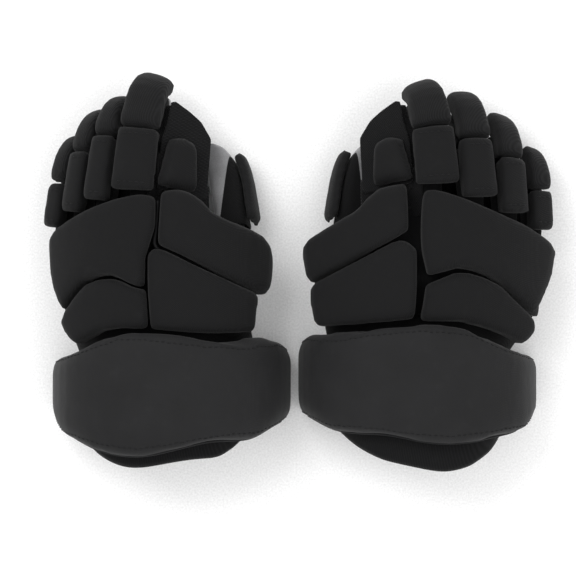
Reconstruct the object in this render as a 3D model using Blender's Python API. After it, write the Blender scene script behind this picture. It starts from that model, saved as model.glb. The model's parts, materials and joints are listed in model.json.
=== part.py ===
"""A pair of ice hockey gloves lying palm down: metres, +Z up, +Y to the fingertips, +X to the right glove.

Each glove is drawn in millimetres in its own frame: u runs to the thumb, v to the fingertips and z up,
from the middle of the wrist. glove_point() turns such a point into a world point.
"""

import math

import bmesh
import bpy
from mathutils import Matrix, Vector

MM = 0.001
PAIR_SHIFT_V = -51.45  # puts the middle of the pair at Y = 0
CROWN = 88.0  # height of the hand pads' top surface
PAD_DEPTH = 20.0
PAD_ROUND = 5.5  # radius of a hand pad's top edge
FINGER_ROUND = 4.8
LINER_DEPTH = 20.5  # from the pads' top surface to the liner's top
LINER = 3.0
WALL_LEAN = math.radians(80)  # the straight walls below the arch
PALM_Z = 1.9
PALM = 2.5
PALM_FLAT_V = 45.0

CUFF_HINGE_Z = 86.0
CUFF_WIDE = 93.0
CUFF_HIGH = 98.0
CUFF_ROLL = 17.0
CUFF_PLATE = 1.6
CUFF_LINER = 3.0
CUFF_SQUARE = 2.6  # superellipse power of the cuff's section

STALL_FLOOR = -5.5  # heights in a finger's frame, whose origin is on its hinge axis
STALL_TOP = 18.6
PAD_UNDER = 19.0
PAD_TOP = 36.0
STALL_WALL = 1.6
STRETCH = math.radians(1.4)  # each side of a joint is cut back by this, so the finger can straighten

LEATHER = ((0.19, 0.19, 0.19, 1.0), 0.85)
SHELL = ((0.017, 0.017, 0.018, 1.0), 0.75)
GUSSET = ((0.007, 0.007, 0.008, 1.0), 0.9)
CUFF_CLOTH = ((0.027, 0.027, 0.028, 1.0), 0.7)
PLASTIC = ((0.02, 0.02, 0.02, 1.0), 0.4)

LEFT = {
    "name": "left",
    "side": 1.0,
    "centre": -101.6,
    "crown_u": -20.0,
    "little_radius": 94.0,
    "arch_ends": (58, 68),
    "flat": 25.0,
    "thumb_radius": 85.0,
    "slab_roll": 20.0,
    "hinge_v": 6.0,
    "knuckle": (
        [(-94, 86), (-78, 96), (-61.5, 104), (-40, 110.5), (-21, 113.5), (-10, 111)],
        [(-10, 111), (-10.5, 80), (-18, 72), (-18.3, 41)],
        [(-88, 22), (-77.5, 37), (-69, 46), (-51, 51), (-37, 47), (-27, 42), (-18, 41)],
        [(-94, 86), (-99, 77), (-97, 46), (-88, 22)],
    ),
    "wrist": (
        [(-86, 20), (-76.5, 34), (-68, 43.5), (-51, 49), (-38, 45.5), (-27, 40.3), (-17.5, 39.3)],
        [(-17.5, 39.3), (-15.6, 9)],
        [(-78, -3.5), (-56, 6.5), (-38, 9.5), (-25, 9), (-15.6, 9)],
        [(-86, 20), (-88, 10), (-78, -3.5)],
    ),
    "thumb_base": (
        [(-6, 115.5), (8, 117), (23, 113), (31, 105), (39, 97.5), (69, 86), (80, 79.5)],
        [(80, 79.5), (84, 66), (84, 50), (81, 34)],
        [(-8.5, 74.2), (36, 54.2), (81, 34)],
        [(-6, 115.5), (-7, 95), (-8.5, 74.2)],
    ),
    "thumb_wrist": (
        [(-16.3, 66), (-11, 72.8), (36, 52.5), (73, 36)],
        [(73, 36), (70, 6)],
        [(-13.9, 8.5), (14, 6.5), (41, 5), (70, 6)],
        [(-16.3, 66), (-16, 40), (-13.9, 8.5)],
    ),
    "front": [(-88, 76), (-80, 84), (-62, 97), (-42, 105), (-9, 107), (26, 103), (42, 92), (72, 76)],
    "palm_front": [
        (-88, 1.9), (-80, 3), (-70, 14), (-60, 26), (-43, 37), (-12, 44), (12, 34), (32, 7), (50, 2.5), (73, 1.9),
    ],
    "fingers": (
        # name, u and v of the pad's root, widths at root, joint and tip, length, reach, pitches, splay
        ("index", -31.5, 115.5, (32, 31, 28), 41.5, 20, (12, 28), 2),
        ("middle", -60.5, 108, (19.5, 19, 17.5), 42.5, 8, (12, 32), 4),
        ("ring", -79.5, 99, (18, 17.5, 16.5), 40, 9, (10, 30), 5),
        ("little", -95.5, 87, (16.8, 16.4, 15.6), 32, 9, (7, 15), 6),
    ),
    "thumb": (48.0, 86.0, 27.5, 11.0),
    "wrist_edge": [(-93, -14), (-62, 1), (-34, 7), (-14, 6), (14, 3), (41, 0), (61, 1), (93, 6)],
    "free_edge": [(-93, -64), (-87, -76), (-60, -88), (-27, -93), (1, -88), (41, -80), (72, -79), (93, -66)],
    "lip_edge": [(-93, -66), (-78, -90), (-56, -101), (-32, -105), (16, -97), (53, -95), (72, -82), (93, -70)],
}

RIGHT = {
    "name": "right",
    "side": -1.0,
    "centre": 93.9,
    "crown_u": -14.0,
    "little_radius": 118.0,
    "arch_ends": (57, 68),
    "flat": 24.0,
    "thumb_radius": 96.0,
    "slab_roll": 16.0,
    "hinge_v": 12.0,
    "knuckle": (
        [(-108, 76.5), (-86, 90), (-62, 100), (-36, 110), (-12, 117), (-2.6, 116.5)],
        [(-2.6, 116.5), (-0.5, 103), (0.5, 74), (-4.5, 50)],
        [(-95, 20), (-77, 34), (-64, 46), (-47, 52.5), (-31, 55.5), (-4.5, 50)],
        [(-108, 76.5), (-111, 68), (-108.5, 50), (-95, 20)],
    ),
    "wrist": (
        [(-92, 17), (-76, 31.5), (-63, 43.8), (-46.5, 50.7), (-31, 53.6), (-4, 43)],
        [(-4, 43), (-2, 28), (1, 15)],
        [(-86, -3.5), (-72, 3.5), (-56, 8.5), (-33, 13.8), (1, 15)],
        [(-92, 17), (-95, 8), (-86, -3.5)],
    ),
    "thumb_base": (
        [(11, 121.5), (24, 120), (37, 117), (52, 101.8), (76, 88), (94, 76.8)],
        [(94, 76.8), (94.5, 62), (91, 43.5)],
        [(9.5, 85), (18, 80.2), (46, 66.7), (73, 53.2), (91, 43.5)],
        [(11, 121.5), (10, 105), (9.5, 85)],
    ),
    "thumb_wrist": (
        [(3, 70), (11, 77.5), (18, 78.4), (46, 64.9), (73, 51.4), (88.5, 43)],
        [(88.5, 43), (88.5, 28), (85, 10)],
        [(4.5, 16.5), (25, 14.5), (50, 12), (85, 10)],
        [(3, 70), (3, 40), (4.5, 16.5)],
    ),
    "front": [(-100, 70), (-87, 79), (-62, 92), (-34, 103), (-6, 109), (38, 106), (52, 95), (80, 77)],
    "palm_front": [
        (-102, 1.9), (-92, 3), (-80, 16), (-62, 30), (-38, 40), (-4, 45), (14, 34), (30, 7), (52, 2.5), (84, 1.9),
    ],
    "fingers": (
        ("index", -16, 120.5, (33, 31, 27), 37, 13, (12, 30), 2),
        ("middle", -49, 110.2, (28, 26, 23), 38, 15, (12, 32), 1),
        ("ring", -76.5, 97.8, (24, 22.5, 20), 36, 11, (10, 30), 0),
        ("little", -99, 85, (20, 19, 18), 28, 5, (5, 16), 0),
    ),
    "thumb": (51.5, 88.0, 27.0, 9.0),
    "wrist_edge": [(-93, -12), (-78, -5), (-61, 2), (-38, 9.5), (-17, 12), (6, 12), (46, 9), (72, 7), (93, 5)],
    "free_edge": [(-93, -62), (-84, -73), (-48, -80), (-21, -83), (6, -80), (30, -75), (72, -73), (93, -62)],
    "lip_edge": [(-93, -64), (-73, -90), (-48, -104), (-21, -108), (14, -102), (41, -97), (66, -86), (93, -66)],
}


def clear_scene():
    for item in list(bpy.data.objects):
        bpy.data.objects.remove(item)


def material(name, look):
    made = bpy.data.materials.new(name)
    made.use_nodes = True
    shader = made.node_tree.nodes["Principled BSDF"]
    shader.inputs["Base Color"].default_value = look[0]
    shader.inputs["Roughness"].default_value = look[1]
    return made


def glove_point(glove, u, v, z):
    return Vector((glove["side"] * u + glove["centre"], v + PAIR_SHIFT_V, z)) * MM


def along(points, t):
    """The point a share t of the way along a polyline."""
    lengths = [math.dist(a, b) for a, b in zip(points, points[1:])]
    left = t * sum(lengths)
    for a, b, length in zip(points, points[1:], lengths):
        if left <= length or b is points[-1]:
            share = min(left / length, 1.0)
            return tuple(p + (q - p) * share for p, q in zip(a, b))
        left -= length
    return points[-1]


def value_at(points, x):
    """Reads y at x from a polyline of (x, y) points sorted by x."""
    for a, b in zip(points, points[1:]):
        if x <= b[0]:
            share = max(0.0, (x - a[0]) / (b[0] - a[0]))
            return a[1] + (b[1] - a[1]) * share
    return points[-1][1]


def eased(count):
    """Shares from 0 to 1 that crowd towards both ends."""
    return [0.5 - 0.5 * math.cos(math.pi * i / count) for i in range(count + 1)]


def add_solid(name, verts, faces, look, empty=None):
    """One closed mesh object. With an empty, its origin is on that empty's joint axis."""
    mesh = bpy.data.meshes.new(name)
    mesh.from_pydata(verts, [], faces)
    shape = bmesh.new()
    shape.from_mesh(mesh)
    bmesh.ops.recalc_face_normals(shape, faces=shape.faces)
    if shape.calc_volume(signed=True) < 0:
        bmesh.ops.reverse_faces(shape, faces=shape.faces)
    shape.to_mesh(mesh)
    shape.free()
    mesh.materials.append(look)
    mesh.shade_smooth()
    mesh.set_sharp_from_angle(angle=math.radians(42))
    made = bpy.data.objects.new(name, mesh)
    bpy.context.scene.collection.objects.link(made)
    if empty:
        mesh.transform(empty.matrix_world.inverted())
        made.parent = empty
    return made


def sheet_solid(name, top, under, look, empty=None):
    """A closed solid between two grids of points with the same rows and columns."""
    rows, columns = len(top), len(top[0])
    verts = [p for row in top for p in row] + [p for row in under for p in row]
    shift = rows * columns

    def at(r, c):
        return r * columns + c

    faces = []
    for r in range(rows - 1):
        for c in range(columns - 1):
            quad = [at(r, c), at(r, c + 1), at(r + 1, c + 1), at(r + 1, c)]
            faces.append(quad)
            faces.append([shift + i for i in reversed(quad)])
    rim = [at(0, c) for c in range(columns)] + [at(r, columns - 1) for r in range(1, rows)]
    rim += [at(rows - 1, c) for c in range(columns - 2, -1, -1)] + [at(r, 0) for r in range(rows - 2, 0, -1)]
    for a, b in zip(rim, rim[1:] + rim[:1]):
        faces.append([b, a, shift + a, shift + b])
    return add_solid(name, verts, faces, look, empty)


def tube_solid(name, outer, inner, look, empty=None, closed=False):
    """A tube from matching outer and inner rings; closed makes its last end a wall."""
    count = len(outer[0])
    rings = outer + inner
    verts = [p for ring in rings for p in ring]

    def band(first, second):
        quads = []
        for i in range(count):
            j = (i + 1) % count
            quads.append([first * count + i, first * count + j, second * count + j, second * count + i])
        return quads

    faces = []
    for r in range(len(outer) - 1):
        faces += band(r, r + 1)
    for r in range(len(outer), len(rings) - 1):
        faces += band(r + 1, r)
    faces += band(len(outer), 0)
    if closed:
        faces.append([(len(outer) - 1) * count + i for i in range(count)])
        faces.append([(len(rings) - 1) * count + i for i in reversed(range(count))])
    else:
        faces += band(len(outer) - 1, len(rings) - 1)
    return add_solid(name, verts, faces, look, empty)


def joint_empty(name, origin, axis, forward):
    """An empty on a joint's axis: its X is the axis, its Y points along the moving piece."""
    x = axis.normalized()
    y = (forward - x * forward.dot(x)).normalized()
    made = bpy.data.objects.new(name, None)
    bpy.context.scene.collection.objects.link(made)
    made.empty_display_size = 0.02
    made.matrix_world = Matrix.Translation(origin) @ Matrix((x, y, x.cross(y))).transposed().to_4x4()
    bpy.context.view_layer.update()
    return made


# The hand's arch


def arch_top(glove, u):
    """Height and outward normal of the pads' top surface at u."""
    if u < glove["crown_u"]:
        angle = -math.asin((glove["crown_u"] - u) / glove["little_radius"])
        drop = glove["little_radius"] * (1 - math.cos(angle))
    elif u > glove["crown_u"] + glove["flat"]:
        angle = math.asin((u - glove["crown_u"] - glove["flat"]) / glove["thumb_radius"])
        drop = glove["thumb_radius"] * (1 - math.cos(angle))
    else:
        angle = drop = 0.0
    return CROWN - drop, (math.sin(angle), math.cos(angle))


def on_arch(glove):
    """Places (u, v, depth) under the arch's top surface, along its normal."""

    def place(u, v, depth):
        z, normal = arch_top(glove, u)
        return glove_point(glove, u - depth * normal[0], v, z - depth * normal[1])

    return place


def arch_section(glove, depth):
    """The liner's section from the little finger's side to the thumb's, down to the palm, as (u, z)."""
    bottom = PALM_Z + PALM + 0.4
    ends = [math.radians(angle) for angle in glove["arch_ends"]]
    sides = ((-1, glove["crown_u"], glove["little_radius"], ends[0]),
             (1, glove["crown_u"] + glove["flat"], glove["thumb_radius"], ends[1]))
    halves = []
    for sign, centre, radius, end in sides:
        half = []
        for i in range(7):
            angle = end * i / 6
            half.append((centre + sign * (radius - depth) * math.sin(angle),
                         CROWN - radius + (radius - depth) * math.cos(angle)))
        fall = half[-1][1] - bottom
        half.append((half[-1][0] + sign * fall / math.tan(WALL_LEAN), bottom))
        halves.append(half)
    return halves[0][::-1] + halves[1]


def pad(name, outline, place, depth, rounding, look, empty=None, counts=(12, 8)):
    """A padded panel: four edges in the panel's plane, a top rounded off towards them and a flat underside."""
    far, right, near, left = outline
    top, under = [], []
    for q in eased(counts[1]):
        top_row, under_row = [], []
        for p in eased(counts[0]):
            point = []
            for k in (0, 1):
                across = (1 - q) * along(near, p)[k] + q * along(far, p)[k]
                up = (1 - p) * along(left, 1 - q)[k] + p * along(right, 1 - q)[k]
                corners = (1 - p) * ((1 - q) * near[0][k] + q * far[0][k])
                corners += p * ((1 - q) * near[-1][k] + q * far[-1][k])
                point.append(across + up - corners)
            width = math.dist(near[0], near[-1])
            height = math.dist(left[0], left[-1])
            side = max(0.0, 1 - min(p, 1 - p) * width / rounding)
            end = max(0.0, 1 - min(q, 1 - q) * height / rounding)
            drop = rounding * (1 - math.sqrt(max(0.0, 1 - min(1.0, side * side + end * end))))
            top_row.append(place(*point, min(drop, depth * 0.62)))
            under_row.append(place(*point, depth))
        top.append(top_row)
        under.append(under_row)
    return sheet_solid(name, top, under, look, empty)


def hand_liner(glove, name, look):
    outer = arch_section(glove, LINER_DEPTH)
    inner = arch_section(glove, LINER_DEPTH + LINER)
    back = glove["hinge_v"] + 3.5
    top, under = [], []
    for q in (0.0, 0.3, 0.65, 1.0):
        rows = ([], [])
        for row, section in zip(rows, (outer, inner)):
            for u, z in section:
                front = value_at(glove["front"], u)
                row.append(glove_point(glove, u, back + (front - back) * q, z))
        top.append(rows[0])
        under.append(rows[1])
    return sheet_solid(name, top, under, look)


def palm_rise(glove, u, v):
    """Height of the palm leather: flat at the heel, rising to the finger roots."""
    front = value_at(glove["front"], u) - 5
    share = min(1.0, max(0.0, (v - PALM_FLAT_V) / (front - PALM_FLAT_V)))
    return PALM_Z + (value_at(glove["palm_front"], u) - PALM_Z) * share * share * (3 - 2 * share)


def palm(glove, name, look):
    section = arch_section(glove, LINER_DEPTH + LINER)
    low, high = section[0][0] + 0.8, section[-1][0] - 0.8
    top, under = [], []
    for q in (0.0, 0.2, 0.4, 0.5, 0.6, 0.7, 0.8, 0.9, 1.0):
        top_row, under_row = [], []
        for i in range(13):
            u = low + (high - low) * i / 12
            start = glove["hinge_v"] - 4
            v = start + (value_at(glove["front"], u) - start - 5) * q
            z = palm_rise(glove, u, v)
            under_row.append(glove_point(glove, u, v, z))
            top_row.append(glove_point(glove, u, v, z + PALM))
        top.append(top_row)
        under.append(under_row)
    return sheet_solid(name, top, under, look)


def heel_patch(glove, name, look):
    top, under = [], []
    for v in (5, 15, 30, PALM_FLAT_V - 3):
        spread = 55 + 8 * math.sin(math.pi * (v - 5) / 60)
        columns = [-spread - 8 + (2 * spread) * i / 6 for i in range(7)]
        top.append([glove_point(glove, u, v, PALM_Z - 0.3) for u in columns])
        under.append([glove_point(glove, u, v, 0.0) for u in columns])
    return sheet_solid(name, top, under, look)


# The cuff


def cuff_point(angle, inset):
    """A point of the cuff's section, a superellipse with its flat side on the table."""
    power = 2 / CUFF_SQUARE
    c, s = math.cos(angle), math.sin(angle)
    u = (CUFF_WIDE - inset) * math.copysign(abs(c) ** power, c)
    return u, (CUFF_HIGH - inset) * abs(s) ** power


def cuff_front(glove, u, z, back):
    """The wrist edge, kept behind the plane that the hand needs clear when the cuff drops."""
    lean = max(0.0, CUFF_HINGE_Z - z) * math.tan(math.radians(8))
    clear = glove["hinge_v"] - lean + max(0.0, z - CUFF_HINGE_Z) * 0.3
    return min(value_at(glove["wrist_edge"], u), clear) - back


def cuff_shell(glove, name, insets, front_back, free_edge, angles, rounding, look, empty):
    start, end = (math.radians(a) for a in angles)
    top, under = [], []
    shares = eased(7) if rounding else (0.0, 0.3, 0.7, 1.0)
    for q in shares:
        rows = ([], [])
        for i in range(21):
            angle = math.pi - start - (math.pi - start - end) * i / 20
            for row, inset, outside in ((rows[0], insets[0], True), (rows[1], insets[1], False)):
                u0, z0 = cuff_point(angle, 0.0)
                front = cuff_front(glove, u0, z0, front_back)
                v = front + (value_at(free_edge, u0) - front) * q
                drop = 0.0
                if rounding and outside:
                    near = max(0.0, 1 - min(q, 1 - q) * 85 / rounding)
                    drop = rounding * (1 - math.sqrt(max(0.0, 1 - near * near))) * 0.75
                u, z = cuff_point(angle, inset + drop)
                row.append(glove_point(glove, u, v, z))
        top.append(rows[0])
        under.append(rows[1])
    return sheet_solid(name, top, under, look, empty)


def cuff(glove, looks):
    name = glove["name"]
    origin = glove_point(glove, 0.0, glove["hinge_v"], CUFF_HINGE_Z)
    empty = joint_empty(name + "_cuff_axis", origin, Vector((-1, 0, 0)), Vector((0, -1, 0)))
    roll = (0.0, CUFF_ROLL)
    plate = (CUFF_ROLL + 0.4, CUFF_ROLL + 0.4 + CUFF_PLATE)
    liner = (plate[1] + 0.4, plate[1] + 0.4 + CUFF_LINER)
    inner_free = [(u, v + 8) for u, v in glove["free_edge"]]
    cuff_shell(glove, name + "_cuff_roll", roll, 0.0, glove["free_edge"], (0, 0), 14.0, looks["cuff"], empty)
    cuff_shell(glove, name + "_cuff_plate", plate, 8.0, inner_free, (16, 16), 0.0, looks["plastic"], empty)
    cuff_shell(glove, name + "_cuff_liner", liner, 3.0, glove["lip_edge"], (0, 0), 0.0, looks["gusset"], empty)


# Fingers


def finger_frame(origin, roll, heading, pitch):
    """A finger's frame in the glove: x across, y along, z to its back, tilted down by pitch."""
    turn = Matrix.Rotation(math.radians(-roll), 4, "Y") @ Matrix.Rotation(math.radians(-heading), 4, "Z")
    return Matrix.Translation(origin) @ turn @ Matrix.Rotation(math.radians(-pitch), 4, "X")


def in_frame(glove, frame):
    def place(x, y, z):
        return glove_point(glove, *(frame @ Vector((x, y, z))))

    return place


def hinge_empty(glove, name, frame):
    """The joint's empty; a turn about its X curls the finger, on both gloves."""
    origin = glove_point(glove, *frame.translation)
    axis = frame.to_3x3() @ Vector((-1, 0, 0))
    forward = frame.to_3x3() @ Vector((0, 1, 0))
    side = glove["side"]
    world_axis = Vector((side * axis.x, axis.y, axis.z)) * side
    return joint_empty(name, origin, world_axis, Vector((side * forward.x, forward.y, forward.z)))


def stall_ring(half, floor, top, inset):
    """Eight points round a finger stall's section, narrower at the palm."""
    half -= inset
    low = half - 1.5
    floor += inset
    top -= inset
    return [
        (-low + 3, floor), (low - 3, floor), (low, floor + 3), (half, top - 5),
        (half - 4, top), (-half + 4, top), (-half, top - 5), (-low, floor + 3),
    ]


def root_cut(z, lean):
    """Where a piece starts, at height z: leaning with the joint above the axis, notched below it."""
    return 0.4 + (-z * math.tan(lean - STRETCH) if z > 0 else -z * 0.62)


def end_cut(z, lean):
    return -0.4 + (z * math.tan(lean - STRETCH) if z > 0 else z * 0.62)


def middle_stall(glove, name, frame, half, length, leans, look, empty):
    place = in_frame(glove, frame)
    outer, inner = [], []
    for rings, inset in ((outer, 0.0), (inner, STALL_WALL)):
        section = stall_ring(half, STALL_FLOOR, STALL_TOP, inset)
        rings.append([place(x, root_cut(z, leans[0]), z) for x, z in section])
        rings.append([place(x, length / 2, z) for x, z in section])
        rings.append([place(x, length + end_cut(z, leans[1]), z) for x, z in section])
    tube_solid(name, outer, inner, look, empty)


def tip_stall(glove, name, frame, half, reach, lean, look, empty, draw=1.0):
    """A stall that ends in a hood over the fingertip, draw times as long as a round one."""
    place = in_frame(glove, frame)
    outer, inner = [], []
    for rings, inset in ((outer, 0.0), (inner, STALL_WALL)):
        section = stall_ring(half, STALL_FLOOR, STALL_TOP, inset)
        rings.append([place(x, root_cut(z, lean), z) for x, z in section])
        rings.append([place(x, reach, z) for x, z in section])
        radius = STALL_TOP - inset
        for angle in (30, 55, 78):
            turn = math.radians(angle)
            top = max(radius * math.cos(turn), inset + 1.0)
            narrow = half * (1 - 0.22 * (angle / 78) ** 2)
            section = stall_ring(narrow, STALL_FLOOR, STALL_TOP, inset)
            squash = [(x, STALL_FLOOR + inset + (z - STALL_FLOOR - inset)
                       * (top - STALL_FLOOR - inset) / (radius - STALL_FLOOR - inset)) for x, z in section]
            rings.append([place(x, reach + draw * radius * math.sin(turn), z) for x, z in squash])
    tube_solid(name, outer, inner, look, empty, closed=True)


def finger_pad(glove, name, frame, widths, ends, leans, tilt, rounding, look, empty, skew=(0.0, 0.0), bend=None,
               heights=(PAD_UNDER, PAD_TOP), draw=1.0):
    """A pad on a stall: its ends lean with the joints, and past the bend it wraps over the fingertip."""
    place_in = in_frame(glove, frame)
    under, top = heights
    depth = top - under
    start, stop = ends
    slope = math.tan(math.radians(tilt))

    def place(x, y, sunk):
        share = (y - start) / (stop - start)
        share_depth = sunk / depth
        z = top + (x * slope - abs(x) ** 2 / 90) * (1 - share_depth) - sunk
        shift = (1 - share) * (0.5 - z * math.tan(leans[0] - STRETCH) if leans[0] is not None else 0.0)
        if bend is None:
            shift += share * (z * math.tan(leans[1] - STRETCH) - 0.5)
            return place_in(x, y + shift, z)
        if y <= bend:
            return place_in(x, y + shift * (1 - (y - start) / (bend - start)), z)
        turn = (y - bend) / top
        return place_in(x, bend + draw * z * math.sin(turn), z * math.cos(turn))

    a, b = widths[0] / 2, widths[1] / 2
    left = [(-b, stop - skew[1] / 2), (-a, start - skew[0] / 2)]
    right = [(b, stop + skew[1] / 2), (a, start + skew[0] / 2)]
    outline = ([left[0], right[0]], right, [left[1], right[1]], left)
    pad(name, outline, place, depth, rounding, look, empty, counts=(6, 10 if bend is not None else 7))


def finger(glove, data, looks):
    name, root_u, root_v, widths, length, reach, pitches, splay = data
    title = glove["name"] + "_" + name
    roll = glove["slab_roll"]
    tilted = math.radians(roll)
    z, normal = arch_top(glove, root_u)
    lean_out = math.degrees(math.atan2(-normal[0], normal[1]))
    tilt = max(-15.0, min(17.0, lean_out - roll))
    origin = Vector((root_u + PAD_TOP * math.sin(tilted), root_v, z - 1.0 - PAD_TOP * math.cos(tilted)))
    lean_root = math.radians(pitches[0])
    lean_joint = math.radians(pitches[1] - pitches[0]) / 2
    stalls = [min(w - 1.0, 24.0) / 2 for w in widths]

    frame = finger_frame(origin, roll, splay, pitches[0])
    empty = hinge_empty(glove, title + "_knuckle_axis", frame)
    middle_stall(glove, title + "_middle_stall", frame, stalls[0] - 0.4, length, (lean_root, lean_joint),
                 looks["gusset"], empty)
    finger_pad(glove, title + "_middle_pad", frame, widths[:2], (0.0, length), (lean_root, lean_joint), tilt, FINGER_ROUND,
               looks["shell"], empty)
    if name == "index":
        index_side(glove, title, frame, stalls[0], length, looks, empty)

    tip_origin = frame @ Vector((0, length, 0))
    tip_frame = finger_frame(tip_origin, roll, splay, pitches[1])
    empty = hinge_empty(glove, title + "_tip_axis", tip_frame)
    tip_stall(glove, title + "_tip_stall", tip_frame, stalls[1] - 0.9, reach, lean_joint, looks["gusset"], empty)
    finger_pad(glove, title + "_tip_pad", tip_frame, widths[1:], (0.0, reach + PAD_TOP * math.radians(66)),
               (lean_joint, None), tilt, FINGER_ROUND, looks["shell"], empty, bend=reach)


def index_side(glove, title, frame, half, length, looks, empty):
    """The index finger's side pad and the mesh panel under it that runs on towards the thumb."""
    lean = math.radians(24 + glove["slab_roll"])
    drop = Matrix.Translation((half + 11.0, 0, 25.0)) @ Matrix.Rotation(lean, 4, "Y")
    tilted = frame @ drop
    place = in_frame(glove, tilted)

    def side_place(x, y, sunk):
        return place(x, y, -sunk)

    width = 33.0
    far = [(6, length - 2), (width / 2, length + 1), (width - 5, length - 3)]
    near = [(0, 2), (width, 1)]
    outline = (far, [far[-1], near[-1]], near, [far[0], near[0]])
    pad(title + "_side_pad", outline, side_place, 13.0, 6.5, looks["shell"], empty, counts=(8, 8))
    top, under = [], []
    edges = (((2, 0), (width + 12, -2)), ((2, length / 2), (width + 11, length / 2)),
             ((2, length - 2), (width + 10, length + 6)), ((5, length + 12), (width, length + 18)),
             ((6, length + 21), (width - 10, length + 24)), ((6.5, length + 29), (10, length + 30)))
    for inner_edge, outer_edge in edges:
        rows = ([], [])
        for i in range(5):
            x = inner_edge[0] + (outer_edge[0] - inner_edge[0]) * i / 4
            y = inner_edge[1] + (outer_edge[1] - inner_edge[1]) * i / 4
            rows[0].append(side_place(x, y, 13.4))
            rows[1].append(side_place(x, y, 15.6))
        top.append(rows[0])
        under.append(rows[1])
    sheet_solid(title + "_side_panel", top, under, looks["gusset"], empty)


def thumb(glove, looks):
    u, v, z, heading = glove["thumb"]
    title = glove["name"] + "_thumb"
    frame = finger_frame(Vector((u, v, z)), -78.0, heading, 12.0)
    empty = hinge_empty(glove, title + "_axis", frame)
    lower = frame @ Matrix.Translation((0, 0, -4.0))
    tip_stall(glove, title + "_stall", lower, 14.5, 37.0, STRETCH, looks["leather"], empty, draw=1.85)
    under, top = 20.4, 28.0
    finger_pad(glove, title + "_pad", lower, (33, 22), (2.0, 34 + top * math.radians(36)), (STRETCH, None), 0.0, 5.0,
               looks["shell"], empty, bend=34.0, heights=(under, top), draw=1.8)


def build_glove(glove):
    name = glove["name"]
    looks = {
        "shell": material(name + "_shell", SHELL),
        "leather": material(name + "_leather", LEATHER),
        "gusset": material(name + "_gusset", GUSSET),
        "cuff": material(name + "_cuff_cloth", CUFF_CLOTH),
        "plastic": material(name + "_plastic", PLASTIC),
    }
    palm(glove, name + "_palm", looks["leather"])
    heel_patch(glove, name + "_heel_patch", looks["leather"])
    hand_liner(glove, name + "_back_liner", looks["gusset"])
    place = on_arch(glove)
    pads = (("knuckle_pad", "knuckle"), ("wrist_pad", "wrist"), ("thumb_base_pad", "thumb_base"),
            ("thumb_wrist_pad", "thumb_wrist"))
    for title, outline in pads:
        pad(f"{name}_{title}", glove[outline], place, PAD_DEPTH, PAD_ROUND, looks["shell"])
    cuff(glove, looks)
    for data in glove["fingers"]:
        finger(glove, data, looks)
    thumb(glove, looks)


clear_scene()
build_glove(LEFT)
build_glove(RIGHT)
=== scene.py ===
"""The looks of a pair of ice hockey gloves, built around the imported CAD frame."""

import json
import math
import random

import bmesh
import bpy
from mathutils import Matrix, Vector
from mathutils.bvhtree import BVHTree


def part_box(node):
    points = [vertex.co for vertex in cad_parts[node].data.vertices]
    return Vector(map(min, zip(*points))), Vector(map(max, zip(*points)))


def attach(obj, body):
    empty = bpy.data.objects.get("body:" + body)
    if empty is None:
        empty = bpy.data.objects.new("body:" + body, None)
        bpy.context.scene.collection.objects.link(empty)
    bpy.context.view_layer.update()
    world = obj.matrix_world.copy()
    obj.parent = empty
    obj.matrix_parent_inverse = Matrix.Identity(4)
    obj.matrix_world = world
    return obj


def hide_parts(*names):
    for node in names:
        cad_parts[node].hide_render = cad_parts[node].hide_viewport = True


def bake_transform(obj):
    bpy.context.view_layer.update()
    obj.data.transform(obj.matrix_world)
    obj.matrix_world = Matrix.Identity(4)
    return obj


MM = 0.001
FINGERS = ("index", "middle", "ring", "little")
SIDES = ("left", "right")
HAND_PADS = ("knuckle_pad", "wrist_pad", "thumb_base_pad", "thumb_wrist_pad")

PAD_VOXEL = 3.0 * MM  # hand pads
FINGER_VOXEL = 2.6 * MM
THUMB_VOXEL = 2.4 * MM
ROLL_VOXEL = 5.0 * MM
PRESSURE = 4.0
CLOTH_FRAMES = 20
ROOM_REACH = 6 * MM  # how near a neighbour has to be to hold a pad back
SWELL_CAP = 2.4 * MM  # furthest that a point of a pad moves when it is stuffed
SWELL_SHARE = 0.42  # of the gap to the nearest neighbour
STITCH_LONG = 3.0 * MM
STITCH_GAP = 1.6 * MM
STITCH_RADIUS = 0.42 * MM
BRIM_HEIGHT = 84 * MM  # the cuff's wrist edge is filled above this
BRIM_PUSH = 3.4 * MM
FINGER_SUEDE_LEVEL = -7.0 * MM  # the palm leather starts this far below the finger's joint
THUMB_SUEDE_LEVEL = -7.5 * MM
GUSSET_SUEDE_LEVEL = -3.5 * MM
WEB_SPARE = 2.6 * MM  # how far a root web reaches past its finger's pad
WEB_DEPTH = 7.0  # mm below the knuckle's axis
WEB_STAGGER = 2.4  # mm that every second web lies deeper
EDGING_STEP = 1.3 * MM
CHANNEL_HEIGHT = 77 * MM

BLACK_TWILL = (0.0066, 0.0066, 0.007)
BLACK_KNIT = (0.0035, 0.0035, 0.0038)
CUFF_GREY = (0.0115, 0.0115, 0.0121)
GREY_SUEDE = (0.2, 0.2, 0.205)
THREAD = (0.0095, 0.0095, 0.01)
PIPING = (0.0045, 0.0045, 0.005)
FLOOR = (0.9, 0.9, 0.9)

SKY = 0.95
LIGHTS = (  # name, place in metres, size in metres, watts
    ("key", (-0.9, 0.9, 1.6), 1.2, 20),
    ("fill", (1.1, -0.4, 1.5), 1.4, 9),
    ("low", (0.1, -1.5, 0.8), 1.0, 4),
)
CAMERA_LENS = 192
CAMERA_PLACE = (-0.009, -0.011, 2.46)

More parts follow.
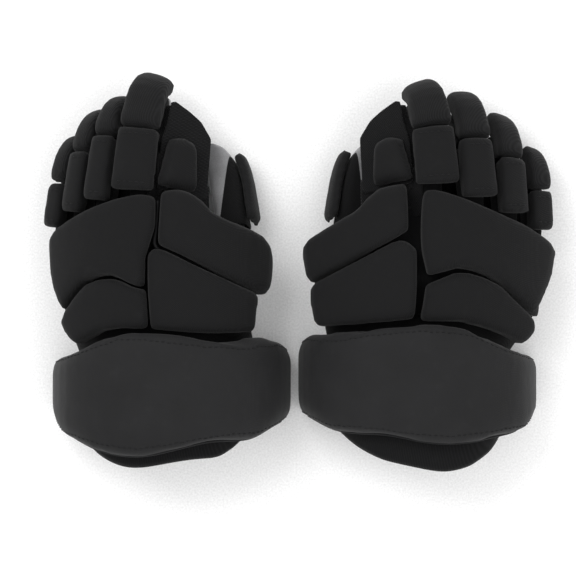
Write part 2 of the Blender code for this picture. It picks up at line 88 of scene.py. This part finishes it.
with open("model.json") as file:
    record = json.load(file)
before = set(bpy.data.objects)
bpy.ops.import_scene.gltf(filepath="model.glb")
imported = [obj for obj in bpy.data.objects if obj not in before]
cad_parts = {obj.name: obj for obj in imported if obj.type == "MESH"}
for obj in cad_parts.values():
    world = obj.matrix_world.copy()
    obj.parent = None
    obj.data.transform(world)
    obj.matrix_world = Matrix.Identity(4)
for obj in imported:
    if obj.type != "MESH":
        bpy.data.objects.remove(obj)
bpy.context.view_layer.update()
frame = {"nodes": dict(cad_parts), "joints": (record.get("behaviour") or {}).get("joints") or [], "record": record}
nodes = frame["nodes"]
joints = {joint["name"]: joint for joint in frame["joints"]}
body_of_node = {n: body for body, names in frame["record"]["behaviour"]["bodies"].items() for n in names}
graph_at_rest = bpy.context.evaluated_depsgraph_get()
trees = {name: BVHTree.FromObject(node, graph_at_rest) for name, node in nodes.items()}


# Materials


def new_material(name):
    made = bpy.data.materials.new(name)
    made.use_nodes = True
    tree = made.node_tree
    return made, tree, tree.nodes["Principled BSDF"]


def add_node(tree, kind, links=()):
    """A shader node; links are (input, output socket) pairs."""
    node = tree.nodes.new(kind)
    for key, socket in links:
        tree.links.new(socket, node.inputs[key])
    return node


def math_node(tree, operation, a, b):
    node = tree.nodes.new("ShaderNodeMath")
    node.operation = operation
    for i, value in enumerate((a, b)):
        if isinstance(value, (int, float)):
            node.inputs[i].default_value = value
        else:
            tree.links.new(value, node.inputs[i])
    return node.outputs[0]


def stripes(tree, coordinates, period, across, wobble=0.6):
    """Bands of the given period in metres; across scales the axes, which sets the bands' direction."""
    turned = add_node(tree, "ShaderNodeMapping", [("Vector", coordinates)])
    turned.inputs["Scale"].default_value = across
    wave = add_node(tree, "ShaderNodeTexWave", [("Vector", turned.outputs[0])])
    wave.bands_direction = "DIAGONAL"
    wave.inputs["Scale"].default_value = 2 * math.pi / (10 * period)
    wave.inputs["Distortion"].default_value = wobble
    wave.inputs["Detail"].default_value = 1.0
    wave.inputs["Detail Scale"].default_value = 2.0
    return wave.outputs["Fac"]


def noise(tree, coordinates, size, detail=3.0):
    made = add_node(tree, "ShaderNodeTexNoise", [("Vector", coordinates)])
    made.inputs["Scale"].default_value = 1 / size
    made.inputs["Detail"].default_value = detail
    return made.outputs["Fac"]


def tint(tree, factor, dark, light, low=0.3, high=0.7):
    ramp = tree.nodes.new("ShaderNodeValToRGB")
    ramp.color_ramp.elements[0].position = low
    ramp.color_ramp.elements[1].position = high
    ramp.color_ramp.elements[0].color = (*dark, 1)
    ramp.color_ramp.elements[1].color = (*light, 1)
    tree.links.new(factor, ramp.inputs["Fac"])
    return ramp.outputs["Color"]


def scaled(colour, share):
    return tuple(c * share for c in colour)


def cloth_material(name, colour, period, weave, rough=0.85, sheen=0.06, depth=0.35, uneven=0.35):
    """Woven cloth: crossed bands of yarn, slow shade changes, dusty wear and a bump."""
    made, tree, shader = new_material(name)
    place = tree.nodes.new("ShaderNodeTexCoord").outputs["Object"]
    yarn = stripes(tree, place, period, weave[0])
    for across in weave[1:]:
        yarn = math_node(tree, "MULTIPLY", yarn, stripes(tree, place, period, across))
    fuzz = noise(tree, place, 0.7 * MM, 2.0)
    patches = noise(tree, place, 26 * MM, 4.0)
    height = math_node(tree, "ADD", yarn, math_node(tree, "MULTIPLY", fuzz, 0.55))
    shade = math_node(tree, "ADD", math_node(tree, "MULTIPLY", yarn, 1 - uneven),
                      math_node(tree, "MULTIPLY", patches, uneven))
    base = tint(tree, shade, scaled(colour, 0.62), scaled(colour, 1.4), 0.15, 0.85)
    wear = tint(tree, noise(tree, place, 9 * MM, 6.0), (0, 0, 0), scaled(colour, 0.22), 0.58, 0.8)
    mix = tree.nodes.new("ShaderNodeMixRGB")
    mix.blend_type = "ADD"
    mix.inputs["Fac"].default_value = 1.0
    tree.links.new(base, mix.inputs["Color1"])
    tree.links.new(wear, mix.inputs["Color2"])
    tree.links.new(mix.outputs[0], shader.inputs["Base Color"])
    roughness = math_node(tree, "ADD", math_node(tree, "MULTIPLY", patches, 0.18), rough - 0.09)
    tree.links.new(roughness, shader.inputs["Roughness"])
    shader.inputs["Sheen Weight"].default_value = sheen
    shader.inputs["Sheen Roughness"].default_value = 0.45
    shader.inputs["Specular IOR Level"].default_value = 0.16
    bump = add_node(tree, "ShaderNodeBump", [("Height", height)])
    bump.inputs["Strength"].default_value = depth
    bump.inputs["Distance"].default_value = 0.5 * MM
    folds = add_node(tree, "ShaderNodeBump",
                     [("Height", noise(tree, place, 14 * MM, 3.0)), ("Normal", bump.outputs[0])])
    folds.inputs["Strength"].default_value = 0.3
    folds.inputs["Distance"].default_value = 1.6 * MM
    tree.links.new(folds.outputs[0], shader.inputs["Normal"])
    return made


def suede_material(name, colour):
    """Brushed palm leather: fine nap, pores, creases and rubbed patches."""
    made, tree, shader = new_material(name)
    place = tree.nodes.new("ShaderNodeTexCoord").outputs["Object"]
    nap = noise(tree, place, 0.6 * MM, 5.0)
    rubbed = noise(tree, place, 18 * MM, 5.0)
    cells = add_node(tree, "ShaderNodeTexVoronoi", [("Vector", place)])
    cells.feature = "DISTANCE_TO_EDGE"
    cells.inputs["Scale"].default_value = 1 / (5 * MM)
    crease = math_node(tree, "MINIMUM", cells.outputs["Distance"], 0.12)
    shade = math_node(tree, "ADD", math_node(tree, "MULTIPLY", nap, 0.45),
                      math_node(tree, "MULTIPLY", rubbed, 0.55))
    tree.links.new(tint(tree, shade, scaled(colour, 0.62), scaled(colour, 1.3)), shader.inputs["Base Color"])
    shader.inputs["Roughness"].default_value = 0.92
    shader.inputs["Sheen Weight"].default_value = 0.35
    shader.inputs["Specular IOR Level"].default_value = 0.2
    height = math_node(tree, "ADD", math_node(tree, "MULTIPLY", nap, 0.3),
                       math_node(tree, "MULTIPLY", crease, 2.0))
    bump = add_node(tree, "ShaderNodeBump", [("Height", height)])
    bump.inputs["Strength"].default_value = 0.4
    bump.inputs["Distance"].default_value = 0.6 * MM
    tree.links.new(bump.outputs[0], shader.inputs["Normal"])
    return made


def plain_material(name, colour, rough):
    """A thread, binding or backdrop: one colour with slight grain."""
    made, tree, shader = new_material(name)
    place = tree.nodes.new("ShaderNodeTexCoord").outputs["Object"]
    grain = noise(tree, place, 1.5 * MM)
    tree.links.new(tint(tree, grain, scaled(colour, 0.9), scaled(colour, 1.08)), shader.inputs["Base Color"])
    shader.inputs["Roughness"].default_value = rough
    shader.inputs["Specular IOR Level"].default_value = 0.15
    return made


TWILL = ((1, 1, 1), (1, -1, 1))
RIB = ((1, 0.15, 1),)
looks = {
    "pad": cloth_material("pad_cordura", BLACK_TWILL, 1.5 * MM, TWILL, depth=0.4),
    "tip": cloth_material("tip_ribbed", scaled(BLACK_TWILL, 0.95), 1.9 * MM, RIB, depth=0.5),
    "cuff": cloth_material("cuff_twill", CUFF_GREY, 1.3 * MM, TWILL, rough=0.72, depth=0.16, uneven=0.6),
    "knit": cloth_material("gusset_knit", BLACK_KNIT, 1.7 * MM, TWILL, rough=0.9, sheen=0.04, depth=0.6),
    "mesh": cloth_material("mesh_panel", scaled(BLACK_KNIT, 1.4), 2.4 * MM, TWILL, rough=0.85, depth=0.9),
    "lining": cloth_material("lining", scaled(BLACK_KNIT, 1.2), 2.0 * MM, RIB, rough=0.9, depth=0.4),
    "suede": suede_material("palm_suede", GREY_SUEDE),
    "thread": plain_material("thread", THREAD, 0.6),
    "piping": plain_material("piping", PIPING, 0.6),
    "plate": plain_material("stiffener", scaled(BLACK_TWILL, 1.2), 0.35),
}


# Mesh helpers


def new_object(name, mesh, *materials):
    made = bpy.data.objects.new(name, mesh)
    bpy.context.scene.collection.objects.link(made)
    for material in materials:
        mesh.materials.append(material)
    return made


def apply_modifiers(obj):
    graph = bpy.context.evaluated_depsgraph_get()
    mesh = bpy.data.meshes.new_from_object(obj.evaluated_get(graph))
    obj.modifiers.clear()
    old = obj.data
    obj.data = mesh
    bpy.data.meshes.remove(old)


def copy_of_node(node, name, *materials):
    """A welded copy of a CAD node's mesh, with its triangles joined back into quads."""
    mesh = nodes[node].data.copy()
    mesh.materials.clear()
    shape = bmesh.new()
    shape.from_mesh(mesh)
    bmesh.ops.remove_doubles(shape, verts=shape.verts, dist=0.02 * MM)
    bmesh.ops.join_triangles(shape, faces=shape.faces, angle_face_threshold=math.radians(60),
                             angle_shape_threshold=math.radians(120))
    shape.to_mesh(mesh)
    shape.free()
    made = new_object(name, mesh, *materials)
    made.data.shade_smooth()
    return made


def finish_piece(obj, node):
    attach(obj, body_of_node[node])
    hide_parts(node)


def shade(obj):
    obj.data.shade_smooth()


# Padded pieces


def neighbours_of(node):
    """Trees of the CAD nodes whose boxes come near this one."""
    low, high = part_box(node)
    reach = Vector((ROOM_REACH,) * 3)
    found = []
    for other, tree in trees.items():
        if other == node:
            continue
        a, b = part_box(other)
        if all(a[k] < high[k] + reach[k] and b[k] > low[k] - reach[k] for k in range(3)):
            found.append(tree)
    return found


def start_pad(node, voxel, material):
    """The pad's closed body, remeshed evenly and ready to be stuffed."""
    made = copy_of_node(node, node + "_cloth", material)
    remesh = made.modifiers.new("even", "REMESH")
    remesh.mode = "VOXEL"
    remesh.voxel_size = voxel
    for title, rounds in (("soften", 3), ("settle", 2)):
        smooth = made.modifiers.new(title, "SMOOTH")
        smooth.factor = 0.5
        smooth.iterations = rounds
        if title == "soften":
            wrap = made.modifiers.new("wrap", "SHRINKWRAP")
            wrap.target = nodes[node]
            wrap.wrap_method = "NEAREST_SURFACEPOINT"
    apply_modifiers(made)
    made["start"] = [c for vertex in made.data.vertices for c in vertex.co]
    cloth = made.modifiers.new("stuffing", "CLOTH")
    cloth.settings.use_pressure = True
    cloth.settings.uniform_pressure_force = PRESSURE
    cloth.settings.effector_weights.gravity = 0.0
    cloth.settings.quality = 4
    cloth.settings.tension_stiffness = 18
    cloth.settings.compression_stiffness = 18
    cloth.settings.bending_stiffness = 0.6
    cloth.point_cache.frame_start = 1
    cloth.point_cache.frame_end = CLOTH_FRAMES
    return made


def fill_brim(made):
    """Plumps the cuff's wrist edge above the arch, so that it meets the hand's pads."""
    made.data.update()
    normals = [vertex.normal.copy() for vertex in made.data.vertices]
    for vertex, normal in zip(made.data.vertices, normals):
        if normal.y > 0.15 and vertex.co.z > BRIM_HEIGHT:
            vertex.co.y += BRIM_PUSH * normal.y * min(1.0, (vertex.co.z - BRIM_HEIGHT) / (5 * MM))
            vertex.co.z += 0.8 * MM * normal.y * normal.z


def settle(pads):
    """Runs the stuffing for every pad at once, then keeps each point within its room."""
    scene = bpy.context.scene
    for number in range(1, CLOTH_FRAMES + 1):
        scene.frame_set(number)
    for node, made in pads.items():
        first = [Vector(made["start"][i:i + 3]) for i in range(0, len(made["start"]), 3)]
        apply_modifiers(made)
        near = neighbours_of(node)
        moved = [vertex.co - start for vertex, start in zip(made.data.vertices, first)]
        drift = sum(moved, Vector()) / len(moved)
        for vertex, start, step in zip(made.data.vertices, first, moved):
            step = step - drift
            room = SWELL_CAP
            for tree in near:
                hit = tree.find_nearest(start, ROOM_REACH)
                if hit[0] is not None:
                    room = min(room, SWELL_SHARE * hit[3])
            vertex.co = start + (step if step.length <= room else step * (room / step.length))
        if node.endswith("cuff_roll"):
            fill_brim(made)
        del made["start"]
        finer = made.modifiers.new("finer", "SUBSURF")
        finer.levels = finer.render_levels = 1
        apply_modifiers(made)
        shade(made)
    scene.frame_set(1)


padded = [(title, PAD_VOXEL, "pad") for title in HAND_PADS]
for finger in FINGERS:
    padded.append((finger + "_middle_pad", FINGER_VOXEL, "pad"))
    padded.append((finger + "_tip_pad", FINGER_VOXEL, "tip"))
padded.append(("index_side_pad", FINGER_VOXEL, "pad"))
padded.append(("thumb_pad", THUMB_VOXEL, "pad"))
padded.append(("cuff_roll", ROLL_VOXEL, "cuff"))

pads = {}
for side in SIDES:
    for title, voxel, look in padded:
        pads[f"{side}_{title}"] = start_pad(f"{side}_{title}", voxel, looks[look])
settle(pads)
for node, made in pads.items():
    finish_piece(made, node)


# Skins: stalls, liners and palms, as softened copies of their CAD nodes


def skin(node, levels, *materials, flat=False):
    made = copy_of_node(node, node + "_skin", *materials)
    soft = made.modifiers.new("soften", "SUBSURF")
    soft.subdivision_type = "SIMPLE" if flat else "CATMULL_CLARK"
    soft.levels = soft.render_levels = levels
    if flat:
        smooth = made.modifiers.new("round", "SMOOTH")
        smooth.factor = 0.5
        smooth.iterations = 4
    apply_modifiers(made)
    shade(made)
    return made


def joint_axis(name):
    return Vector(joints[name]["pos_m"]), Vector(joints[name]["axis"]).normalized()


def middle_of(node):
    low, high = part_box(node)
    return (low + high) / 2


def finger_axes(joint, stall, pad):
    """(origin, across, along, back) of a finger segment: back points from the stall to its pad."""
    origin, across = joint_axis(joint)
    back = middle_of(pad) - middle_of(stall)
    back = (back - across * back.dot(across)).normalized()
    along = back.cross(across).normalized()
    if along.dot(middle_of(stall) - origin) < 0:
        along = -along
    return origin, across, along, back


def knuckle_axes(title):
    return finger_axes(title + "_knuckle", title + "_middle_stall", title + "_middle_pad")


def paint_palm_side(obj, origin, back, level):
    """Faces below the level, seen along back, take the second material, the palm leather."""
    shape = bmesh.new()
    shape.from_mesh(obj.data)
    everything = shape.verts[:] + shape.edges[:] + shape.faces[:]
    bmesh.ops.bisect_plane(shape, geom=everything, plane_co=origin + back * level, plane_no=back)
    shape.to_mesh(obj.data)
    shape.free()
    for face in obj.data.polygons:
        if (face.center - origin).dot(back) < level and face.normal.dot(back) < 0.75:
            face.material_index = 1


for side in SIDES:
    for finger in FINGERS:
        title = f"{side}_{finger}"
        axes = knuckle_axes(title)
        for part, joint in (("middle", "knuckle"), ("tip", "tip")):
            node = f"{title}_{part}_stall"
            made = skin(node, 2, looks["knit"], looks["suede"])
            paint_palm_side(made, joint_axis(f"{title}_{joint}")[0], axes[3], FINGER_SUEDE_LEVEL)
            finish_piece(made, node)
    made = skin(f"{side}_thumb_stall", 2, looks["knit"], looks["suede"], flat=True)
    axes = finger_axes(f"{side}_thumb", f"{side}_thumb_stall", f"{side}_thumb_pad")
    paint_palm_side(made, axes[0], axes[3], THUMB_SUEDE_LEVEL)
    finish_piece(made, f"{side}_thumb_stall")
    for title, levels, look, slot_name in (
        ("back_liner", 2, "knit", "gusset"),
        ("palm", 2, "suede", "leather"),
        ("heel_patch", 1, "suede", "leather"),
        ("cuff_liner", 2, "lining", "gusset"),
        ("cuff_plate", 1, "plate", "plastic"),
        ("index_side_panel", 3, "mesh", "gusset"),
    ):
        made = skin(f"{side}_{title}", levels, looks[look], flat=title == "index_side_panel")
        finish_piece(made, f"{side}_{title}")


# Gussets that bridge the joints


def loft(name, rings, *materials, closed=True):
    """A surface through rings of points with equal counts, given a small thickness."""
    count = len(rings[0])
    verts = [p for ring in rings for p in ring]
    faces = []
    for r in range(len(rings) - 1):
        for i in range(count if closed else count - 1):
            j = (i + 1) % count
            faces.append((r * count + i, r * count + j, (r + 1) * count + j, (r + 1) * count + i))
    mesh = bpy.data.meshes.new(name)
    mesh.from_pydata(verts, [], faces)
    made = new_object(name, mesh, *materials)
    soft = made.modifiers.new("soften", "SUBSURF")
    soft.levels = soft.render_levels = 1
    thick = made.modifiers.new("cloth", "SOLIDIFY")
    thick.thickness = 0.8 * MM
    thick.offset = 0.0
    apply_modifiers(made)
    shade(made)
    return made


def half_width(node, across):
    reach = [vertex.co.dot(across) for vertex in nodes[node].data.vertices]
    return (max(reach) - min(reach)) / 2, (max(reach) + min(reach)) / 2


def joint_tube(name, joint, stall, frames, level, reach):
    """A short fabric tube inside two stalls, across their joint, with a few soft ripples."""
    origin, across = joint_axis(joint)
    half, middle = half_width(stall, across)
    half -= 3.4 * MM
    origin = origin + across * (middle - origin.dot(across))
    rings = []
    for k in range(9):
        share = k / 8
        distance = (share - 0.5) * 2
        along, back = (Vector(a).lerp(Vector(b), share).normalized() for a, b in zip(*frames))
        ripple = 0.25 * MM * math.cos(k * math.pi)
        length = distance * (reach[1] if distance > 0 else reach[0])
        ring = []
        for i in range(16):
            turn = 2 * math.pi * i / 16
            c, s = math.cos(turn), math.sin(turn)
            x = (half + ripple) * math.copysign(abs(c) ** 0.6, c)
            z = level[0] + (level[1] + ripple) * math.copysign(abs(s) ** 0.6, s)
            ring.append(origin + across * x + along * length + back * z)
        rings.append(ring)
    made = loft(name, rings, looks["knit"], looks["suede"])
    paint_palm_side(made, origin, frames[1][1], GUSSET_SUEDE_LEVEL)
    along = frames[1][0]
    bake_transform(made)


for side in SIDES:
    for finger in FINGERS:
        title = f"{side}_{finger}"
        across, along = knuckle_axes(title)[1:3]
        upright = along.cross(across)
        back = upright if upright.z > 0 else -upright
        flat = Matrix.Rotation(math.radians(-10), 3, across)
        bent = Matrix.Rotation(math.radians(17), 3, across)
        hand = (flat @ along, flat @ back)
        tip = (bent @ along, bent @ back)
        heights = (6.5 * MM, 9.4 * MM)
        joint_tube(title + "_knuckle_gusset", title + "_knuckle", title + "_middle_stall",
                   (hand, (along, back)), heights, (9 * MM, 11 * MM))
        joint_tube(title + "_tip_gusset", title + "_tip", title + "_tip_stall",
                   ((along, back), tip), heights, (9 * MM, 8 * MM))


def inner_ring(node, centre, count, sink):
    """Points just inside a CAD shell, found by looking outwards from a centre in one vertical plane."""
    ring = []
    for i in range(count):
        turn = math.pi * (0.04 + 0.92 * i / (count - 1))
        look = Vector((math.cos(turn), 0, math.sin(turn)))
        hit = trees[node].ray_cast(centre, look)
        if hit[0] is None:
            return None
        ring.append(centre + look * (hit[3] - sink))
    return ring


def wrist_gusset(side):
    """The soft fabric between the hand and the cuff, tucked inside both."""
    low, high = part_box(f"{side}_back_liner")
    middle = (low.x + high.x) / 2
    hand_y = low.y
    stations = ((f"{side}_back_liner", hand_y + 10 * MM), (f"{side}_back_liner", hand_y + 2 * MM),
                (f"{side}_cuff_liner", hand_y - 30 * MM), (f"{side}_cuff_liner", hand_y - 40 * MM))
    rings = [inner_ring(node, Vector((middle, y, 12 * MM)), 33, 0.9 * MM) for node, y in stations]
    between = []
    for share in (0.25, 0.5, 0.75):
        between.append([a.lerp(b, share) for a, b in zip(rings[1], rings[2])])
    made = loft(f"{side}_wrist_gusset", rings[:2] + between + rings[2:], looks["knit"], closed=False)
    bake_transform(made)


def root_web(side, finger):
    """The palm-side cloth between the palm's front edge and a finger, wide enough to meet its neighbours."""
    title = f"{side}_{finger}"
    origin, across, along, back = knuckle_axes(title)
    half, middle = half_width(title + "_middle_pad", across)
    outer = math.copysign(1, across.x * (1 if side == "right" else -1)) if finger == "little" else 0
    sink = WEB_STAGGER * (FINGERS.index(finger) % 2) + WEB_DEPTH
    centre = origin + across * (middle - origin.dot(across))
    rings = []
    for k in range(8):
        y = (-9 + 26 * k / 7) * MM
        ring = []
        for i in range(15):
            share = i / 7 - 1
            lift = (-sink + 1.6 * abs(share) ** 3 + 0.3 * math.cos(k * 2.2)) * MM
            wide = half - 4.5 * MM if share * outer > 0 else half + WEB_SPARE
            ring.append(centre + across * wide * share + along * y + back * lift)
        rings.append(ring)
    made = loft(title + "_root_web", rings, looks["knit"], closed=False)
    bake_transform(made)


def side_web(side):
    """The cloth that runs on from the index finger's side panel and under the thumb base pad."""
    title = side + "_index"
    origin, across, along, back = knuckle_axes(title)
    panel = nodes[title + "_side_panel"]
    spots = [panel.matrix_world @ vertex.co for vertex in panel.data.vertices]
    least = min((spot - origin).dot(along) for spot in spots)
    edge = [spot for spot in spots if (spot - origin).dot(along) < least + 13 * MM]
    outer = max(edge, key=lambda spot: abs((spot - origin).dot(across)))
    inner = min(edge, key=lambda spot: abs((spot - origin).dot(across)))
    rings = []
    for k in range(8):
        share = k / 7
        shift = along * (12 - 38 * share) * MM - back * (1.6 + 2.5 * share) * MM
        fold = 1.1 * MM * math.sin(share * 9.0)
        rings.append([inner.lerp(outer, 1.2 * i / 12 - 0.18) + shift + back * fold * (i / 12)
                      for i in range(13)])
    made = loft(side + "_side_web", rings, looks["mesh"], closed=False)
    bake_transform(made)


def index_edging(side):
    """The strip of cloth that closes the slot between the index finger and its side panel."""
    title = side + "_index"
    origin, across, along, back = knuckle_axes(title)
    panel = nodes[title + "_side_panel"]
    spots = [panel.matrix_world @ vertex.co - origin for vertex in panel.data.vertices]
    if sum(spot.dot(across) for spot in spots) < 0:
        across = -across
    reach = [spot.dot(along) for spot in spots]
    rings = []
    for k in range(10):
        y = min(reach) + (max(reach) - 3 * MM - min(reach)) * k / 9
        near = min(spots, key=lambda spot: spot.dot(across) * 0.6 + abs(spot.dot(along) - y))
        x, lift = near.dot(across), near.dot(back) - 2.2 * MM
        ring = []
        for i in range(8):
            fall = lift - abs(i - 4) * 0.15 * MM
            ring.append(origin + across * (x + (i - 4) * EDGING_STEP) + along * y + back * fall)
        rings.append(ring)
    made = loft(side + "_index_edging", rings, looks["mesh"], closed=False)
    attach(made, title + "_middle")


def thumb_gusset(side):
    """The soft sleeve at the thumb's root."""
    title = side + "_thumb"
    along, back = finger_axes(title, title + "_stall", title + "_pad")[2:]
    joint_tube(title + "_gusset", title, title + "_stall",
               ((along, back), (along, back)), (-1.5 * MM, 10.5 * MM), (27 * MM, 12 * MM))


for side in SIDES:
    for finger in FINGERS:
        root_web(side, finger)
    wrist_gusset(side)
    side_web(side)
    index_edging(side)
    thumb_gusset(side)


# Stitches, piping and loose threads


def tube_along(verts, faces, path, radii, sides=6):
    """Adds a tube through the points of a path, with a radius at each, to growing lists."""
    base = len(verts)
    for k, (point, radius) in enumerate(zip(path, radii)):
        ahead = (path[min(k + 1, len(path) - 1)] - path[max(k - 1, 0)]).normalized()
        aside = ahead.cross(Vector((0.31, 0.17, 0.93))).normalized()
        up = aside.cross(ahead)
        for i in range(sides):
            turn = 2 * math.pi * i / sides
            verts.append(point + (aside * math.cos(turn) + up * math.sin(turn)) * radius)
    for k in range(len(path) - 1):
        for i in range(sides):
            j = (i + 1) % sides
            a, b = base + k * sides, base + (k + 1) * sides
            faces.append((a + i, a + j, b + j, b + i))
    faces.append(tuple(base + i for i in reversed(range(sides))))
    faces.append(tuple(base + (len(path) - 1) * sides + i for i in range(sides)))


def thread_object(name, verts, faces, look, body):
    mesh = bpy.data.meshes.new(name)
    mesh.from_pydata(verts, [], faces)
    made = new_object(name, mesh, looks[look])
    shade(made)
    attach(made, body)


def sew(verts, faces, path):
    """Stitches along a path of (point, normal) pairs: each dips into the cloth at both ends."""
    spent = 0.0
    target = STITCH_GAP
    for (a, n), (b, m) in zip(path, path[1:]):
        length = (b - a).length
        while length > 0 and target <= spent + length:
            share = (target - spent) / length
            centre = a.lerp(b, share)
            normal = n.lerp(m, share).normalized()
            reach = (b - a).normalized() * STITCH_LONG / 2
            dip = normal * STITCH_RADIUS * 0.9
            rise = normal * STITCH_RADIUS * 0.5
            line = [centre - reach - dip, centre - reach * 0.55 + rise,
                    centre + reach * 0.55 + rise, centre + reach - dip]
            tube_along(verts, faces, line, [STITCH_RADIUS * r for r in (0.6, 1, 1, 0.6)], 5)
            target += STITCH_LONG + STITCH_GAP
        spent += length


def tree_of(obj):
    bpy.context.view_layer.update()
    return BVHTree.FromObject(obj, bpy.context.evaluated_depsgraph_get())


def cuff_edges(side):
    """Round the cuff: surface points near its wrist edge, near its free edge, and on its rim."""
    tree = tree_of(pads[side + "_cuff_roll"])
    low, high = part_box(side + "_cuff_roll")
    centre = (low.x + high.x) / 2
    rows = ([], [], [])
    for i in range(73):
        turn = math.radians(10 + 160 * i / 72)
        look = Vector((math.cos(turn), 0, math.sin(turn)))
        found = []
        for k in range(121):
            y = low.y + (high.y - low.y) * k / 120
            far = Vector((centre, y, 4 * MM)) + look * 0.25
            hit = tree.ray_cast(far, -look)
            if hit[0] is not None:
                found.append((hit[0], hit[1], 0.25 - hit[3]))
        if len(found) < 20:
            continue
        top = sorted(f[2] for f in found)[-8]
        flat = [f for f in found if f[2] > top - 3.2 * MM]
        rows[0].append(flat[-1][:2])
        rows[1].append(flat[0][:2])
        rows[2].append(found[0][:2])
    return rows


def cuff_details(side):
    """A row of stitches along each edge of the cuff roll and a piping under its free edge."""
    wrist, free, rim = cuff_edges(side)
    verts, faces = [], []
    for row in (wrist, free):
        sew(verts, faces, row)
    thread_object(side + "_cuff_stitches", verts, faces, "thread", side + "_cuff")
    verts, faces = [], []
    path = [point - Vector((0, 0.3 * MM, 0)) - normal * 0.2 * MM for point, normal in rim]
    for _ in range(12):
        path[1:-1] = [(a + b * 2 + c) / 4 for a, b, c in zip(path, path[1:], path[2:])]
    tube_along(verts, faces, path, [1.15 * MM] * len(path), 8)
    thread_object(side + "_cuff_piping", verts, faces, "piping", side + "_cuff")


def channel_piping(side):
    """The covered cord in the channel between the knuckle pad and the thumb base pad."""
    knuckle = tree_of(pads[side + "_knuckle_pad"])
    base = tree_of(pads[side + "_thumb_base_pad"])
    to_thumb = 1 if side == "left" else -1
    low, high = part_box(side + "_knuckle_pad")
    near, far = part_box(side + "_thumb_base_pad")
    x = (high.x + near.x) / 2 if side == "left" else (low.x + far.x) / 2
    path = []
    for k in range(30):
        y = max(low.y, near.y) + (high.y - max(low.y, near.y) - 5 * MM) * k / 29
        start = Vector((x, y, CHANNEL_HEIGHT))
        one = knuckle.ray_cast(start, Vector((-to_thumb, 0, 0)), 14 * MM)
        two = base.ray_cast(start, Vector((to_thumb, 0, 0)), 14 * MM)
        if one[0] is not None and two[0] is not None and one[3] + two[3] > 3.2 * MM:
            path.append(((one[0] + two[0]) / 2, min(1.5 * MM, (one[3] + two[3]) / 2 - 0.5 * MM)))
    if len(path) > 4:
        verts, faces = [], []
        tube_along(verts, faces, [p[0] for p in path], [p[1] for p in path], 8)
        thread_object(side + "_channel_piping", verts, faces, "piping", side + "_hand")


def loose_threads(side):
    """Short frayed ends where rows of stitching stop."""
    rng = random.Random(7 if side == "left" else 11)
    sets = ((side + "_index_side_pad", 3), (side + "_index_middle_pad", 2))
    verts, faces = [], []
    for node, count in sets:
        tree = tree_of(pads[node])
        low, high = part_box(node)
        for _ in range(count):
            spot = Vector((rng.uniform(low.x, high.x), rng.choice((low.y + 3 * MM, high.y - 3 * MM)), high.z))
            hit = tree.find_nearest(spot)
            point, normal = hit[0], hit[1]
            lean = Vector((rng.uniform(-1, 1), rng.uniform(-1, 1), 0.2)).normalized()
            length = rng.uniform(2.5, 4.5) * MM
            path = [point - normal * 0.3 * MM, point + normal * 0.5 * MM + lean * length * 0.3,
                    point + normal * 0.8 * MM + lean * length * 0.7,
                    point + normal * 0.4 * MM + lean * length]
            tube_along(verts, faces, path, [0.16 * MM] * 4, 5)
    thread_object(side + "_loose_threads", verts, faces, "thread", side + "_index_middle")


def pad_stitches(side):
    """A row of stitches across each finger's middle pad, just inside its knuckle end and its tip end."""
    for finger in FINGERS:
        title = f"{side}_{finger}"
        origin, across, along, back = knuckle_axes(title)
        tree = tree_of(pads[title + "_middle_pad"])
        half, middle = half_width(title + "_middle_pad", across)
        reach = [vertex.co.dot(along) for vertex in pads[title + "_middle_pad"].data.vertices]
        verts, faces = [], []
        for y in (min(reach) + 5.5 * MM, max(reach) - 5.5 * MM):
            row = []
            for i in range(25):
                x = middle + (half - 4.5 * MM) * (i / 12 - 1)
                spot = across * x + along * y
                start = spot + back * (origin.dot(back) + 60 * MM)
                hit = tree.ray_cast(start, -back)
                if hit[0] is not None:
                    row.append(hit[:2])
            if len(row) > 3:
                sew(verts, faces, row)
        if faces:
            thread_object(title + "_stitches", verts, faces, "thread", title + "_middle")


for side in SIDES:
    cuff_details(side)
    loose_threads(side)
    pad_stitches(side)
channel_piping("left")


# Stage, light and camera


def build_stage():
    """Pale floor, a broad soft light overhead and two weaker ones from the sides."""
    mesh = bpy.data.meshes.new("floor")
    mesh.from_pydata([(-3, -3, 0), (3, -3, 0), (3, 3, 0), (-3, 3, 0)], [], [(0, 1, 2, 3)])
    floor = new_object("floor", mesh, plain_material("floor", FLOOR, 0.9))
    floor.location.z = -0.3 * MM
    world = bpy.data.worlds.new("studio")
    world.use_nodes = True
    world.node_tree.nodes["Background"].inputs["Color"].default_value = (1, 1, 1, 1)
    world.node_tree.nodes["Background"].inputs["Strength"].default_value = SKY
    bpy.context.scene.world = world
    for title, place, size, power in LIGHTS:
        light = bpy.data.lights.new(title, "AREA")
        light.size = size
        light.energy = power
        lamp = bpy.data.objects.new(title, light)
        lamp.location = place
        lamp.rotation_euler = (Vector((0, 0, 0.04)) - Vector(place)).to_track_quat("-Z", "Y").to_euler()
        bpy.context.scene.collection.objects.link(lamp)


def build_camera():
    """Straight above the pair, from far enough that the gloves hardly converge."""
    camera = bpy.data.cameras.new("camera")
    camera.lens = CAMERA_LENS
    made = bpy.data.objects.new("camera", camera)
    made.location = CAMERA_PLACE
    bpy.context.scene.collection.objects.link(made)
    bpy.context.scene.camera = made
    bpy.context.scene.view_settings.view_transform = "Standard"


build_stage()
build_camera()
